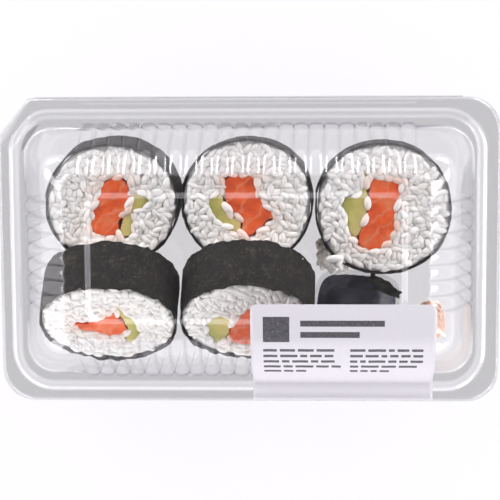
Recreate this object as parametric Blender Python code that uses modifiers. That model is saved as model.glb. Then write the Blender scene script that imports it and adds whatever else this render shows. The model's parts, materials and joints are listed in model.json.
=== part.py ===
"""Takeaway sushi tray: a clear hinged pack with five thick rolls, soy sauce, ginger and a label.

Every length below is in millimetres and becomes metres through MM. +X runs to the right along
the front edge, +Y runs to the hinge at the back, and the pack stands on z = 0.
"""

import math
import random

import bmesh
import bpy
from mathutils import Vector
from mathutils.geometry import delaunay_2d_cdt

MM = 0.001
NAME = "Takeaway_Sushi_Tray"
SEED = 11

# Pack
LENGTH = 165.0
WIDTH = 101.0
HEIGHT = 48.0
SHEET = 0.5  # thickness of the formed plastic
BASE_RIM_Z = 26.0  # top of the base's flange
LID_RIM_Z = 26.8  # top of the lid's flange, which leaves 0.3 between the two
EDGE_RADIUS = 10.5
CORNER_CUT = (10.3, 12.3)  # the back left corner is cut straight for the opening tab
ARC_STEPS = 5

# Snap bead that runs round both flanges
BEAD_INSET = 5.0
BEAD_FOOT = 2.1
BEAD_CREST = 0.8
BEAD_RISE = 1.0
BEAD_RADIUS = 12.0

# Fluted walls
CAVITY = (73.8, 42.1)
CAVITY_RADIUS = 13.0
FLUTE_PITCH = 5.0
FLUTES_LONG = 22
FLUTES_SHORT = 9
FLUTE_CREST = 0.28  # where the crest starts and ends, as a share of the pitch
LID_FLUTE_DEPTH = 1.5
BASE_FLUTE_DEPTH = 1.2
BASE_FOOT_FLUTE_DEPTH = 0.5
LID_SHOULDER = (68.0, 34.8, 40.5)  # half length, half width and height where the wall flattens
LID_TOP = (58.4, 26.4, 46.2)
LID_TOP_FLUTE_DEPTH = 0.4
LID_TOP_RADIUS = 3.2
LID_SHOULDER_RADIUS = 8.0
LID_PANEL_FOOT = (51.8, 21.4)
LID_PANEL = (50.4, 20.0)
LID_PANEL_RADIUS = 4.5
FLOOR = (70.0, 38.3)
FLOOR_RADIUS = 9.0

# Label: a paper strip stuck over the lid's front
LABEL_X = (1.4, 60.9)
LABEL_BACK_Y = -14.5
LABEL_THICKNESS = 0.3
LABEL_GAP = 0.3
LABEL_CORNER = 2.2

# Rolls
NORI_THICKNESS = 0.5
GAP = 0.35  # left between pieces that touch
ROLL_SEGMENTS = 40
OVAL_POWER = 0.94  # 1 is an ellipse and less is squarer
LEAN = math.radians(45.0)
FLAT_HEIGHT = 18.4
LEANING_HEIGHT = 19.0
RICE_SPACING = 3.0
RICE_RELIEF = 0.55
RICE_SINK = 0.8  # how far each cut face stays below the nori's edge
SALMON_SINK = 0.55
AVOCADO_SINK = 0.75

# Each roll: centre (x, y, z), radii across and along, lean, offset of its far end, fillings
ROLLS = {
    "back_left": {
        "centre": (-46.2, 14.7, 10.1),
        "radii": (22.4, 20.2),
        "lean": 0.0,
        "height": FLAT_HEIGHT,
        "skew": (0.0, 1.7),
        "salmon": [
            (-3.6, 6.4), (1.8, 9.6), (6.0, 7.2), (5.9, -1.3), (2.6, -5.4), (2.3, -11.0),
            (-4.1, -11.0), (-7.2, -9.2), (-6.4, -2.4), (-4.8, 1.6),
        ],
        "avocado": [
            (6.5, 4.4), (11.1, 3.9), (13.5, 0.2), (8.8, -1.4), (7.0, -3.4), (7.7, -9.3),
            (5.7, -11.3), (2.9, -11.1), (3.1, -5.7), (6.3, -1.6),
        ],
    },
    "back_middle": {
        "centre": (-0.75, 15.4, 10.1),
        "radii": (22.0, 21.1),
        "lean": 0.0,
        "height": FLAT_HEIGHT,
        "skew": (0.0, 0.0),
        "salmon": [
            (-8.3, 9.0), (3.9, 9.2), (2.8, 5.6), (3.9, 0.9), (10.4, -5.3), (7.4, -6.2),
            (3.7, -8.9), (2.7, -11.0), (-1.7, -11.8), (-2.0, -4.4), (-6.2, -4.0), (-7.7, 3.7),
        ],
        "avocado": [
            (-13.0, -0.5), (-11.9, 2.4), (-8.6, 4.4), (-6.8, -4.3), (-2.5, -4.9), (-2.2, -11.8),
            (-4.2, -11.0), (-5.2, -8.8), (-9.9, -6.9), (-12.4, -3.0),
        ],
    },
    "back_right": {
        "centre": (44.6, 13.1, 10.1),
        "radii": (22.8, 22.0),
        "lean": 0.0,
        "height": FLAT_HEIGHT,
        "skew": (0.0, 0.0),
        "salmon": [
            (-4.7, 10.5), (-0.7, 10.1), (6.5, 9.1), (5.4, 4.6), (4.7, 0.4), (3.9, -2.0),
            (4.9, -6.6), (2.2, -11.5), (-0.7, -13.4), (-7.2, -13.6), (-9.2, -11.2), (-7.85, -8.9),
            (-4.75, -1.8),
        ],
        "avocado": [
            (-6.9, 13.0), (-5.2, 12.6), (-5.2, -1.7), (-8.3, -8.6), (-10.5, -9.3),
            (-11.8, -6.6), (-13.4, 2.3), (-12.0, 4.0), (-7.1, 4.3),
        ],
    },
    "front_left": {
        "centre": (-46.7, -17.7, 22.5),
        "radii": (22.9, 20.5),
        "lean": LEAN,
        "height": LEANING_HEIGHT,
        "skew": (0.0, 0.0),
        "salmon": [
            (-11.6, 0.7), (-10.3, -4.0), (-4.6, -4.1), (-3.3, -6.8), (4.6, -7.6), (6.0, -4.1),
            (4.6, 1.3), (2.4, 7.2), (-0.8, 3.4), (-5.9, -0.3),
        ],
        "avocado": [
            (3.0, 8.3), (3.9, 10.6), (5.5, 5.5), (8.7, 4.0), (10.5, -2.0), (9.3, -8.3),
            (7.4, -11.4), (4.2, -10.8), (6.5, -4.1), (5.1, 1.4),
        ],
    },
    "front_middle": {
        "centre": (-0.55, -17.0, 22.5),
        "radii": (22.3, 20.5),
        "lean": LEAN,
        "height": LEANING_HEIGHT,
        "skew": (0.0, 0.0),
        "salmon": [
            (-4.3, -1.2), (-2.2, 4.0), (1.4, 7.4), (5.5, 5.0), (6.9, -2.0), (4.5, -11.5),
            (0.8, -13.6), (-7.4, -11.2),
        ],
        "avocado": [
            (-13.8, 0.3), (-11.6, 1.9), (-5.8, 3.4), (-4.8, -1.2), (-7.9, -11.2),
            (-10.9, -13.8), (-13.1, -11.0), (-13.8, -3.5),
        ],
    },
}

# Soy sauce sachet, ginger and the torn strip of nori
SACHET_CENTRE = (35.7, -22.7, 6.0)
SACHET_SIZE = (30.5, 27.5, 9.6)
SACHET_SEAM = 2.6
SACHET_SEAM_THICKNESS = 0.6
SACHET_TURN = math.radians(-4.0)
GINGER_CENTRE = (61.6, -27.6, 5.7)
GINGER_SIZE = (12.6, 19.0, 9.2)
FLAP_CENTRE = (45.2, -13.9, 14.6)
FLAP_SIZE = (12.6, 5.2, 0.5)
FLAP_TURN = math.radians(-28.0)
FLAP_TILT = math.radians(24.0)


def clear_scene():
    """Remove whatever the scene holds."""
    for old in list(bpy.data.objects):
        bpy.data.objects.remove(old)


def new_collection(name):
    """Add a collection to the scene."""
    collection = bpy.data.collections.new(name)
    bpy.context.scene.collection.children.link(collection)
    return collection


def material(name, colour, roughness, alpha=1.0):
    """A Principled material in one colour."""
    made = bpy.data.materials.new(name)
    made.use_nodes = True
    shader = made.node_tree.nodes["Principled BSDF"]
    shader.inputs["Base Color"].default_value = (*colour, 1.0)
    shader.inputs["Roughness"].default_value = roughness
    shader.inputs["Metallic"].default_value = 0.0
    shader.inputs["Alpha"].default_value = alpha
    return made


def add_object(name, mesh_source, collection, finish, smooth_angle=None):
    """Turn a bmesh into a named object with its material."""
    mesh = bpy.data.meshes.new(name)
    mesh_source.to_mesh(mesh)
    mesh_source.free()
    if smooth_angle is not None:
        mesh.shade_smooth()
        mesh.set_sharp_from_angle(angle=math.radians(smooth_angle))
    made = bpy.data.objects.new(name, mesh)
    collection.objects.link(made)
    if finish is not None:
        made.data.materials.append(finish)
    return made


def corner_centres(half_x, half_y, radius):
    """Centre and start angle of the four corner arcs, anticlockwise from the front right one."""
    x, y = half_x - radius, half_y - radius
    return [(x, -y, -90.0), (x, y, 0.0), (-x, y, 90.0), (-x, -y, 180.0)]


def corner_arc(centre_x, centre_y, start, radius):
    """Points along a quarter circle."""
    angles = [math.radians(start + 90.0 * step / ARC_STEPS) for step in range(ARC_STEPS + 1)]
    return [(centre_x + radius * math.cos(a), centre_y + radius * math.sin(a)) for a in angles]


def plain_ring(half_x, half_y, radius, z, cut=None):
    """Rounded rectangle. With cut, the back left corner is a straight line instead of an arc."""
    points = []
    for index, (x, y, start) in enumerate(corner_centres(half_x, half_y, radius)):
        if cut and index == 2:
            points += [(-half_x + cut[0], half_y), (-half_x, half_y - cut[1])]
        else:
            points += corner_arc(x, y, start, radius)
    return [(x, y, z) for x, y in points]


def flutes_along(start, direction, outward, count, depth):
    """Points of a row of flutes: a valley between wide crests."""
    points = []
    begin = -count * FLUTE_PITCH / 2
    for index in range(count):
        at = begin + index * FLUTE_PITCH
        rows = [(0.0, depth if index else 0.0), (FLUTE_CREST, 0.0), (1.0 - FLUTE_CREST, 0.0)]
        for share, sunk in rows:
            along = at + share * FLUTE_PITCH
            points.append(
                (
                    start[0] + direction[0] * along - outward[0] * sunk,
                    start[1] + direction[1] * along - outward[1] * sunk,
                )
            )
    end = begin + count * FLUTE_PITCH
    points.append((start[0] + direction[0] * end, start[1] + direction[1] * end))
    return points


def fluted_ring(half_x, half_y, radius, z, depth):
    """Rounded rectangle whose four sides carry flutes."""
    corners = corner_centres(half_x, half_y, radius)
    sides = [
        ((half_x, 0.0), (0.0, 1.0), (1.0, 0.0), FLUTES_SHORT),
        ((0.0, half_y), (-1.0, 0.0), (0.0, 1.0), FLUTES_LONG),
        ((-half_x, 0.0), (0.0, -1.0), (-1.0, 0.0), FLUTES_SHORT),
        ((0.0, -half_y), (1.0, 0.0), (0.0, -1.0), FLUTES_LONG),
    ]
    points = []
    for (x, y, start), (middle, direction, outward, count) in zip(corners, sides):
        points += corner_arc(x, y, start, radius)
        points += flutes_along(middle, direction, outward, count, depth)
    return [(x, y, z) for x, y in points]


def add_loop(bm, points):
    """A closed loop of joined points."""
    verts = [bm.verts.new(Vector(point) * MM) for point in points]
    for i in range(len(verts)):
        bm.edges.new((verts[i - 1], verts[i]))
    return verts


def loft(bm, first, second):
    """Walls between two unlike sections that have the same number of points."""
    for i in range(len(first)):
        bm.faces.new((first[i - 1], first[i], second[i], second[i - 1]))


def fill_flat(bm, *loops):
    """Triangles that fill a flat outline, with a hole where there is a second loop."""
    edges = [bm.edges.get((loop[i - 1], loop[i])) for loop in loops for i in range(len(loop))]
    bmesh.ops.triangle_fill(bm, edges=edges, use_beauty=True)


def flange_loops(bm, rim_z):
    """The rim from its outer edge over the snap bead; returns the loop at the bead's inner foot."""
    half_x, half_y = LENGTH / 2, WIDTH / 2
    edge = add_loop(bm, plain_ring(half_x, half_y, EDGE_RADIUS, rim_z, CORNER_CUT))
    rows = [
        (-BEAD_FOOT, 0.0), (-BEAD_CREST, BEAD_RISE), (BEAD_CREST, BEAD_RISE), (BEAD_FOOT, 0.0),
    ]
    loops = []
    for inward, rise in rows:
        inset = BEAD_INSET + inward
        radius = BEAD_RADIUS - inward
        loops.append(add_loop(bm, plain_ring(half_x - inset, half_y - inset, radius, rim_z + rise)))
    fill_flat(bm, edge, loops[0])
    for first, second in zip(loops, loops[1:]):
        loft(bm, first, second)
    return loops[-1]


def thicken(made, thickness, grows_along_normals):
    """Turn an open surface into a solid sheet."""
    solid = made.modifiers.new("sheet", "SOLIDIFY")
    solid.thickness = thickness * MM
    solid.offset = 1.0 if grows_along_normals else -1.0
    solid.use_even_offset = True
    solid.use_quality_normals = True


def shell(name, bm, collection, finish):
    """Give the formed sheet, drawn as its upper side, its thickness downwards."""
    bmesh.ops.recalc_face_normals(bm, faces=bm.faces)
    made = add_object(name, bm, collection, finish, smooth_angle=35.0)
    faces_up = max(made.data.polygons, key=lambda face: face.area).normal.z > 0
    thicken(made, SHEET, not faces_up)


def build_lid(collection, finish):
    """The formed lid: flange, bead, fluted sloping walls, ledge and raised panel."""
    bm = bmesh.new()
    bead = flange_loops(bm, LID_RIM_Z)
    foot = add_loop(bm, fluted_ring(*CAVITY, CAVITY_RADIUS, LID_RIM_Z, LID_FLUTE_DEPTH))
    shoulder_x, shoulder_y, shoulder_z = LID_SHOULDER
    shoulder = add_loop(
        bm,
        fluted_ring(shoulder_x, shoulder_y, LID_SHOULDER_RADIUS, shoulder_z, LID_FLUTE_DEPTH),
    )
    top_x, top_y, top_z = LID_TOP
    top = add_loop(bm, fluted_ring(top_x, top_y, LID_TOP_RADIUS, top_z, LID_TOP_FLUTE_DEPTH))
    panel_foot = add_loop(bm, plain_ring(*LID_PANEL_FOOT, LID_PANEL_RADIUS, top_z))
    panel = add_loop(bm, plain_ring(*LID_PANEL, LID_PANEL_RADIUS, HEIGHT))
    fill_flat(bm, bead, foot)
    loft(bm, foot, shoulder)
    loft(bm, shoulder, top)
    fill_flat(bm, top, panel_foot)
    loft(bm, panel_foot, panel)
    fill_flat(bm, panel)
    shell("lid", bm, collection, finish)


def build_base(collection, finish):
    """The formed base: flange, bead, fluted walls and a flat floor. The loops are its upper side."""
    bm = bmesh.new()
    bead = flange_loops(bm, BASE_RIM_Z)
    mouth_x, mouth_y = CAVITY
    mouth = add_loop(
        bm,
        fluted_ring(mouth_x - SHEET, mouth_y - SHEET, CAVITY_RADIUS, BASE_RIM_Z, BASE_FLUTE_DEPTH),
    )
    floor = add_loop(bm, fluted_ring(*FLOOR, FLOOR_RADIUS, SHEET, BASE_FOOT_FLUTE_DEPTH))
    fill_flat(bm, bead, mouth)
    loft(bm, mouth, floor)
    fill_flat(bm, floor)
    shell("base_tray", bm, collection, finish)


def oval(radii, segments=ROLL_SEGMENTS):
    """An oval outline, a little squarer than an ellipse as a pressed roll is."""
    points = []
    for index in range(segments):
        angle = 2 * math.pi * index / segments
        c, s = math.cos(angle), math.sin(angle)
        x = math.copysign(abs(c) ** OVAL_POWER, c)
        y = math.copysign(abs(s) ** OVAL_POWER, s)
        points.append((radii[0] * x, radii[1] * y))
    return points


def grown(outline, distance):
    """The outline moved outwards by a distance, corner by corner."""
    count = len(outline)
    area = sum(
        outline[i - 1][0] * outline[i][1] - outline[i][0] * outline[i - 1][1] for i in range(count)
    )
    side = 1.0 if area > 0 else -1.0
    points = []
    for i in range(count):
        before = (Vector(outline[i]) - Vector(outline[i - 1])).normalized()
        after = (Vector(outline[(i + 1) % count]) - Vector(outline[i])).normalized()
        first = Vector((before.y, -before.x)) * side
        second = Vector((after.y, -after.x)) * side
        middle = (first + second).normalized()
        reach = distance / max(0.5, middle.dot(first))
        points.append(tuple(Vector(outline[i]) + middle * reach))
    return points


def softened(outline):
    """The outline with each corner cut once, as a knife leaves soft food."""
    points = []
    for i in range(len(outline)):
        first, second = Vector(outline[i - 1]), Vector(outline[i])
        points += [tuple(first.lerp(second, 0.25)), tuple(first.lerp(second, 0.75))]
    return points


def inside(point, outline):
    """True where a point lies within an outline."""
    x, y = point
    hit = False
    for i in range(len(outline)):
        (ax, ay), (bx, by) = outline[i - 1], outline[i]
        if (ay > y) != (by > y) and x < (bx - ax) * (y - ay) / (by - ay) + ax:
            hit = not hit
    return hit


def skewed(point, roll, z):
    """Slide a point sideways with its depth, for a slice that wasn't cut square."""
    share = 0.5 - z / roll["height"]
    return (point[0] + roll["skew"][0] * share, point[1] + roll["skew"][1] * share, z)


def prism(outline, roll, low, high):
    """A closed straight-sided solid that follows the roll's skew."""
    bm = bmesh.new()
    bottom = bm.faces.new([bm.verts.new(Vector(skewed(p, roll, low)) * MM) for p in outline])
    moved = bmesh.ops.extrude_face_region(bm, geom=[bottom])
    top = [item for item in moved["geom"] if isinstance(item, bmesh.types.BMVert)]
    shift = Vector(skewed((0.0, 0.0), roll, high)) - Vector(skewed((0.0, 0.0), roll, low))
    bmesh.ops.translate(bm, verts=top, vec=shift * MM)
    bmesh.ops.recalc_face_normals(bm, faces=bm.faces)
    return bm


def rice_block(roll, rng):
    """The packed rice: a solid whose shown face has bumps the size of grains."""
    inset = NORI_THICKNESS + GAP
    outline = oval((roll["radii"][0] - inset, roll["radii"][1] - inset))
    within = grown(outline, -RICE_SPACING * 0.55)
    points = [Vector(p) for p in outline]
    relief = [0.0] * len(outline)
    row_step = RICE_SPACING * math.sqrt(3) / 2
    rows = int(roll["radii"][1] / row_step) + 1
    columns = int(roll["radii"][0] / RICE_SPACING) + 1
    for row in range(-rows, rows + 1):
        for column in range(-columns, columns + 1):
            x = (column + 0.5 * (row % 2) + rng.uniform(-0.2, 0.2)) * RICE_SPACING
            y = row * row_step + rng.uniform(-0.2, 0.2) * RICE_SPACING
            if inside((x, y), within):
                points.append(Vector((x, y)))
                relief.append(rng.uniform(-RICE_RELIEF, RICE_RELIEF))
    verts, _, faces, *_ = delaunay_2d_cdt(points, [], [list(range(len(outline)))], 1, 1e-5)
    face_z = roll["height"] / 2 - RICE_SINK
    bm = bmesh.new()
    made = [
        bm.verts.new(Vector(skewed((v.x, v.y), roll, face_z + r)) * MM) for v, r in zip(verts, relief)
    ]
    shown = [bm.faces.new([made[i] for i in face]) for face in faces]
    moved = bmesh.ops.extrude_face_region(bm, geom=shown)
    far_z = -roll["height"] / 2 + RICE_SINK
    far = [item for item in moved["geom"] if isinstance(item, bmesh.types.BMVert)]
    for vert in far:
        x, y, z = (value / MM for value in vert.co)
        there = Vector(skewed((0.0, 0.0), roll, far_z)) - Vector(skewed((0.0, 0.0), roll, z))
        vert.co = Vector((x + there.x, y + there.y, far_z)) * MM
    far_set = set(far)
    flat = [edge for edge in bm.edges if all(vert in far_set for vert in edge.verts)]
    bmesh.ops.dissolve_limit(bm, angle_limit=0.01, verts=far, edges=flat)
    bmesh.ops.recalc_face_normals(bm, faces=bm.faces)
    return bm


def cut_with(target, cutter):
    """Take the cutter's shape out of the target."""
    cutter.hide_render = True
    cutter.display_type = "WIRE"
    boolean = target.modifiers.new(cutter.name, "BOOLEAN")
    boolean.operation = "DIFFERENCE"
    boolean.object = cutter
    boolean.solver = "EXACT"


def place(made, roll):
    """Stand or lean a piece where its roll lies."""
    made.location = Vector(roll["centre"]) * MM
    made.rotation_euler = (roll["lean"], 0.0, 0.0)


def build_nori(label, roll, collection, finish):
    """The dried seaweed round the roll, open at both ends."""
    bm = bmesh.new()
    half = roll["height"] / 2
    loops = [
        add_loop(bm, [skewed(p, roll, z) for p in oval(roll["radii"])]) for z in (-half, half)
    ]
    loft(bm, *loops)
    bmesh.ops.recalc_face_normals(bm, faces=bm.faces)
    made = add_object(f"nori_{label}", bm, collection, finish, smooth_angle=40.0)
    first = made.data.polygons[0]
    outwards = first.normal.x * first.center.x + first.normal.y * first.center.y > 0
    thicken(made, NORI_THICKNESS, not outwards)
    place(made, roll)


def build_roll(label, roll, collection, cutters, finishes, rng):
    """One slice: nori outside, rice, and the salmon and avocado that run through it."""
    build_nori(label, roll, collection, finishes["nori"])
    rice = add_object(f"rice_{label}", rice_block(roll, rng), collection, finishes["rice"])
    place(rice, roll)
    half = roll["height"] / 2
    for filling, sink in (("salmon", SALMON_SINK), ("avocado", AVOCADO_SINK)):
        outline = softened(roll[filling])
        bm = prism(outline, roll, -half + sink, half - sink)
        made = add_object(f"{filling}_{label}", bm, collection, finishes[filling])
        place(made, roll)
        cutter_bm = prism(grown(outline, GAP), roll, -half - 1.0, half + 1.0)
        cutter = add_object(f"cutter_{filling}_{label}", cutter_bm, cutters, None)
        place(cutter, roll)
        cut_with(rice, cutter)


def label_profile():
    """The label's underside from the panel over the ledge and down the flutes to the rim."""
    clear = LABEL_GAP
    rim_z = LID_RIM_Z + clear
    bead_y = WIDTH / 2 - BEAD_INSET
    return [
        (LABEL_BACK_Y, HEIGHT + clear),
        (-LID_PANEL[1] - clear, HEIGHT + clear),
        (-LID_TOP[1] - clear, LID_TOP[2] + clear),
        (-LID_SHOULDER[1] - 1.4 * clear, LID_SHOULDER[2] + clear),
        (-CAVITY[1] - 1.4 * clear, rim_z + 0.4),
        (-bead_y + BEAD_CREST + 1.0, rim_z + BEAD_RISE),
        (-bead_y - BEAD_CREST - 0.4, rim_z + BEAD_RISE),
        (-WIDTH / 2 + 0.3, rim_z),
    ]


def build_label(collection, finish):
    """The paper label: a bent strip with rounded corners at its back edge."""
    profile = label_profile()
    bm = bmesh.new()
    rows = []
    arc = [math.radians(90.0 * step / 3) for step in range(4)]
    start_y, start_z = profile[0]
    steps = [
        (LABEL_CORNER * (1 - math.sin(a)), start_y - LABEL_CORNER * (1 - math.cos(a)), start_z)
        for a in arc
    ]
    steps += [(0.0, y, z) for y, z in profile[1:]]
    for inset, y, z in steps:
        ends = (LABEL_X[0] + inset, LABEL_X[1] - inset)
        rows.append([bm.verts.new(Vector((x, y, z)) * MM) for x in ends])
    for first, second in zip(rows, rows[1:]):
        bm.faces.new((first[0], second[0], second[1], first[1]))
    bmesh.ops.recalc_face_normals(bm, faces=bm.faces)
    made = add_object("label", bm, collection, finish)
    faces_up = made.data.polygons[0].normal.z > 0
    thicken(made, LABEL_THICKNESS, faces_up)


def build_sachet(collection, finish):
    """The soy sauce sachet: a pillow inside a flat welded seam."""
    bm = bmesh.new()
    grid = bmesh.ops.create_grid(bm, x_segments=10, y_segments=10, size=0.5)
    size_x, size_y, size_z = SACHET_SIZE
    half_seam = SACHET_SEAM_THICKNESS / 2
    for vert in grid["verts"]:
        u, v = vert.co.x * 2, vert.co.y * 2
        inner_u = min(1.0, abs(u) / (1 - 2 * SACHET_SEAM / size_x))
        inner_v = min(1.0, abs(v) / (1 - 2 * SACHET_SEAM / size_y))
        swell = (1 - inner_u**2.6) * (1 - inner_v**2.6)
        pull = 1.0 - 0.035 * (1 - u * u) * abs(v) ** 3 - 0.035 * (1 - v * v) * abs(u) ** 3
        z = half_seam + (size_z / 2 - half_seam) * max(0.0, swell) ** 0.6
        vert.co = Vector((u * size_x / 2 * pull, v * size_y / 2 * pull, z)) * MM
    copy = bmesh.ops.duplicate(bm, geom=bm.faces[:] + bm.edges[:] + bm.verts[:])
    under = [item for item in copy["geom"] if isinstance(item, bmesh.types.BMVert)]
    bmesh.ops.scale(bm, verts=under, vec=(1.0, 1.0, -1.0))
    open_edges = [edge for edge in bm.edges if edge.is_boundary]
    bmesh.ops.bridge_loops(bm, edges=open_edges)
    bmesh.ops.recalc_face_normals(bm, faces=bm.faces)
    made = add_object("soy_sachet", bm, collection, finish, smooth_angle=45.0)
    made.location = Vector(SACHET_CENTRE) * MM
    made.rotation_euler = (0.0, 0.0, SACHET_TURN)


def build_ginger(collection, finish, rng):
    """A small heap of folded pickled ginger, as one ruffled mound."""
    bm = bmesh.new()
    bmesh.ops.create_icosphere(bm, subdivisions=3, radius=1.0)
    phase = rng.uniform(0.0, 1.0)
    for vert in bm.verts:
        x, y, z = vert.co
        fold = 0.10 * math.sin(9.0 * y + 4.0 * x + phase) + 0.07 * math.sin(13.0 * z + 7.0 * y)
        size = 0.88 + fold * (0.4 + 0.6 * abs(z))
        vert.co = Vector((x * size, y * size, max(z * size, -0.86)))
        vert.co = Vector(c * s / 2 for c, s in zip(vert.co, GINGER_SIZE)) * MM
    made = add_object("pickled_ginger", bm, collection, finish, smooth_angle=60.0)
    made.location = Vector(GINGER_CENTRE) * MM


def build_flap(collection, finish, rng):
    """The torn strip of nori that hangs off the back right roll."""
    bm = bmesh.new()
    size_x, size_y, thickness = FLAP_SIZE
    grid = bmesh.ops.create_grid(bm, x_segments=8, y_segments=3, size=0.5)
    for vert in grid["verts"]:
        u, v = vert.co.x, vert.co.y
        ragged = rng.uniform(-0.5, 0.5) if v < -0.4 else 0.0
        wave = 0.5 * math.sin(5.0 * u) * (0.5 - v)
        taper = 1.0 - 0.45 * (u + 0.5)
        vert.co = Vector((u * size_x, v * size_y * taper + ragged, wave)) * MM
    made = add_object("nori_flap", bm, collection, finish)
    thicken(made, thickness, False)
    made.location = Vector(FLAP_CENTRE) * MM
    made.rotation_euler = (FLAP_TILT, 0.0, FLAP_TURN)


def main():
    """Build every piece of the pack and its food."""
    clear_scene()
    rng = random.Random(SEED)
    collection = new_collection(NAME)
    cutters = new_collection("Cutters")
    plastic = material("clear_plastic", (0.82, 0.82, 0.85), 0.12, alpha=0.35)
    finishes = {
        "nori": material("nori", (0.024, 0.022, 0.018), 0.7),
        "rice": material("rice", (0.74, 0.71, 0.67), 0.55),
        "salmon": material("salmon", (0.70, 0.13, 0.05), 0.4),
        "avocado": material("avocado", (0.45, 0.42, 0.14), 0.5),
    }
    build_base(collection, plastic)
    build_lid(collection, plastic)
    for label, roll in ROLLS.items():
        build_roll(label, roll, collection, cutters, finishes, rng)
    build_label(collection, material("label_paper", (0.86, 0.85, 0.90), 0.45))
    build_sachet(collection, material("soy_sachet", (0.03, 0.03, 0.04), 0.2))
    build_ginger(collection, material("pickled_ginger", (0.85, 0.50, 0.35), 0.4), rng)
    build_flap(collection, finishes["nori"], rng)


if __name__ == "__main__":
    main()
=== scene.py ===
"""Takeaway sushi tray: the looks of a clear hinged pack with five thick rolls.

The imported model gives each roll, filling and sachet its place and size. Lengths are in millimetres
and become metres through MM. +X runs to the right, +Y runs to the hinge, and +Z is up.
"""

import json
import math
import random
from collections import namedtuple

import bmesh
import bpy
from mathutils import Matrix, Vector, noise
from mathutils.bvhtree import BVHTree

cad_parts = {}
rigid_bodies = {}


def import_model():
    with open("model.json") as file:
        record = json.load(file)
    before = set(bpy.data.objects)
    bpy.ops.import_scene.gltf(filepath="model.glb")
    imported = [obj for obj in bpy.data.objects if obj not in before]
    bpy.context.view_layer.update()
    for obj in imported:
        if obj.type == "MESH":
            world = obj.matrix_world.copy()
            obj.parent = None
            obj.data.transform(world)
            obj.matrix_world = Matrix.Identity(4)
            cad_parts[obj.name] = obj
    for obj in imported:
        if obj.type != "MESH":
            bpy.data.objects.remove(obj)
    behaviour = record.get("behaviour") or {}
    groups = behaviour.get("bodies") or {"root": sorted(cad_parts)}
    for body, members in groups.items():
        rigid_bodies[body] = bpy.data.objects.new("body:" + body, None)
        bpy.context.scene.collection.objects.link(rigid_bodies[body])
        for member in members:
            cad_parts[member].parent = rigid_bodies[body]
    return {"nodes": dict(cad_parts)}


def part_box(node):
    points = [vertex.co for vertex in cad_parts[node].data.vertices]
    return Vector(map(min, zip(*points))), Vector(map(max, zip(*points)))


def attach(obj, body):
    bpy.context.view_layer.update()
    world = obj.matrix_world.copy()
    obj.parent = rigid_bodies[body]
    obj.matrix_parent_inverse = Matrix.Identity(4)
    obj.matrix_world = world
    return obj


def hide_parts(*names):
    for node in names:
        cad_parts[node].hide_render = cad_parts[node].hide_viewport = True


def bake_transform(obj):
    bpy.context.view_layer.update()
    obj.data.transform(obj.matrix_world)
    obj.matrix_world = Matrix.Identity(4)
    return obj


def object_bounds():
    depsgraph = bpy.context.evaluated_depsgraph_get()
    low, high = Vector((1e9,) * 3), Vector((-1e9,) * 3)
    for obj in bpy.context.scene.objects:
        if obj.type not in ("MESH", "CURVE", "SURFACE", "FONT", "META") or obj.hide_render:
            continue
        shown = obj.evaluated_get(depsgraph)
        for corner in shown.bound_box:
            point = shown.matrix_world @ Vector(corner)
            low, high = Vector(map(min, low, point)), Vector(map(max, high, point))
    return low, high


for leftover in list(bpy.data.objects):
    bpy.data.objects.remove(leftover)
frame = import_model()
cad_low, cad_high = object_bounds()

bl_info = {
    "name": "Takeaway Sushi Tray",
    "version": (1, 0, 0),
    "blender": (4, 5, 0),
    "location": "View3D > Sidebar > Sushi Tray",
    "description": "Builds a clear hinged pack of thick sushi rolls around its packed model",
    "category": "Object",
}

MM = 0.001

# Formed shells: one row for each bend, from the rim inwards
Station = namedtuple("Station", "half_x half_y radius z depth bend crease")
FLUTE_PITCH = 5.0
FLUTES_LONG = 22
FLUTES_SHORT = 9
FLUTE_STEPS = 10
CORNER_STEPS = 8
BEND_STEPS = 4
EDGE_RADIUS = 10.5
LID_CUT = (10.3, 12.3)  # the straight corner at the back left
BASE_CUT = (10.5, 15.8)  # cut further back, so the lid can be gripped there
BEAD_INSET = 5.2
BEAD_HALF_WIDTH = 1.9
BEAD_RADIUS = 12.0
BEAD_FADE = 3.0  # how far from the bead its shift on the right has died away
CREASE_HALF_LENGTH = 66.0
HINGE_STEPS = 40
FLUTED_REACH = (56.0, 23.5)  # the flutes run this far from the middle of each side
FLOOR_TOP = 0.47  # what lies in the base starts here
DRAWN_HAZE = 0.004  # share of the drawn walls that stress whitens

# Rolls: how far each leans back
LEANS = {
    "back_left": 0.0,
    "back_middle": 0.0,
    "back_right": 0.0,
    "front_left": 45.0,
    "front_middle": 45.0,
}
OVAL_POWER = 0.94
WRAP_SEGMENTS = 150
WRAP_LEVELS = 26
NORI_CAD_WALL = 0.5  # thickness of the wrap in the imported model
ROW_SHARE = 0.866  # rows of grains lie this share of a step apart

# Rice that broke off the back right roll
LOOSE_MIDDLE = (29.0, -4.5)
LOOSE_REACH = (5.0, 6.4)
LOOSE_HEIGHT = 21.0
LOOSE_GRAINS = 260

# The label lies this far above the middle of the lid's sheet
LABEL_GAP = 0.15

# Principled sockets that only some materials set
SOCKETS = {
    "ior": "IOR",
    "specular": "Specular IOR Level",
    "glow_colour": "Emission Color",
    "glow": "Emission Strength",
}


def linear(code):
    """Linear RGBA of an sRGB hex colour."""
    channels = [int(code[i:i + 2], 16) / 255 for i in (1, 3, 5)]
    return (*[c / 12.92 if c <= 0.04045 else ((c + 0.055) / 1.055) ** 2.4 for c in channels], 1.0)


def colour_property(name, description, code):
    """A colour that a user may change."""
    return bpy.props.FloatVectorProperty(
        name=name, description=description, subtype="COLOR", size=4, min=0, max=1,
        default=linear(code),
    )


def length_property(name, description, millimetres):
    """A length that a user may change."""
    return bpy.props.FloatProperty(
        name=name, description=description, subtype="DISTANCE", unit="LENGTH",
        default=millimetres * MM, min=0.0,
    )


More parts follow.
